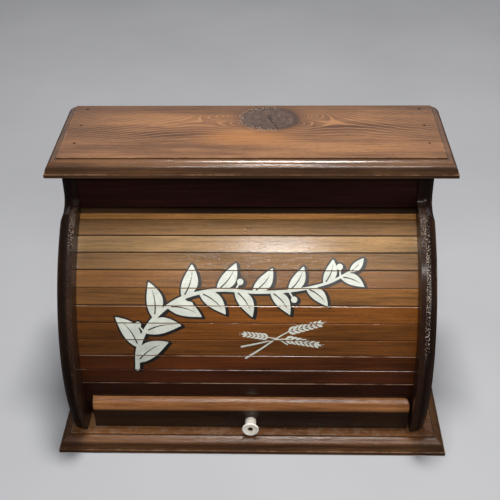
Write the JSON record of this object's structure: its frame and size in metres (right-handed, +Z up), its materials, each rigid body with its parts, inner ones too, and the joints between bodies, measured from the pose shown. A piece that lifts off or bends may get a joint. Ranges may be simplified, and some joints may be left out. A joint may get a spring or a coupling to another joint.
{
  "type": "roll-top bread box",
  "caption": "Wooden roll-top bread box: a moulded case with curved side panels and a slatted shutter that rolls up in tracks by a rail with a small white knob.",
  "frame": {"origin": "middle of the underside of the base, at the bottom centre of the bounding box", "axes": "+Z up, the front with the shutter faces -Y, +X to the right as seen from the front"},
  "size_m": [0.438, 0.254, 0.31],
  "materials": {
    "case_wood": "dark brown stained pine under satin varnish",
    "shutter_wood": "golden to reddish brown stained strips under satin varnish",
    "rail_wood": "brown stained, satin varnish, worn to a paler tone on its rounded edge",
    "back_ply": "thin plywood, thinly stained",
    "porcelain": "cream white glaze",
    "brass": "dull, darkened",
    "steel": "plain wire nails and screws",
    "canvas": "cotton canvas glued to the slats"
  },
  "bodies": {
    "case": {"base_board": "case_wood", "side_panel_left": "case_wood", "side_panel_right": "case_wood", "top_board": "case_wood", "fascia_board": "case_wood", "back_panel": "back_ply", "base_screws": "steel", "top_nails": "steel", "fascia_nails": "steel", "back_tacks": "steel"},
    "shutter": {"slat_01": "shutter_wood", "slat_02": "shutter_wood", "slat_03": "shutter_wood", "slat_04": "shutter_wood", "slat_05": "shutter_wood", "slat_06": "shutter_wood", "slat_07": "shutter_wood", "slat_08": "shutter_wood", "slat_09": "shutter_wood", "slat_10": "shutter_wood", "slat_11": "shutter_wood", "slat_12": "shutter_wood", "slat_13": "shutter_wood", "slat_14": "shutter_wood", "lift_rail": "rail_wood", "canvas_backing": "canvas", "knob": "porcelain", "knob_screw": "brass", "rail_screws": "steel"}
  },
  "joints": [
    {"name": "shutter_roll", "type": "hinge", "parent": "case", "child": "shutter", "pos_m": [0, 0.0755, 0.0895], "axis": [-1, 0, 0], "range_deg": [0, 39]}
  ]
}
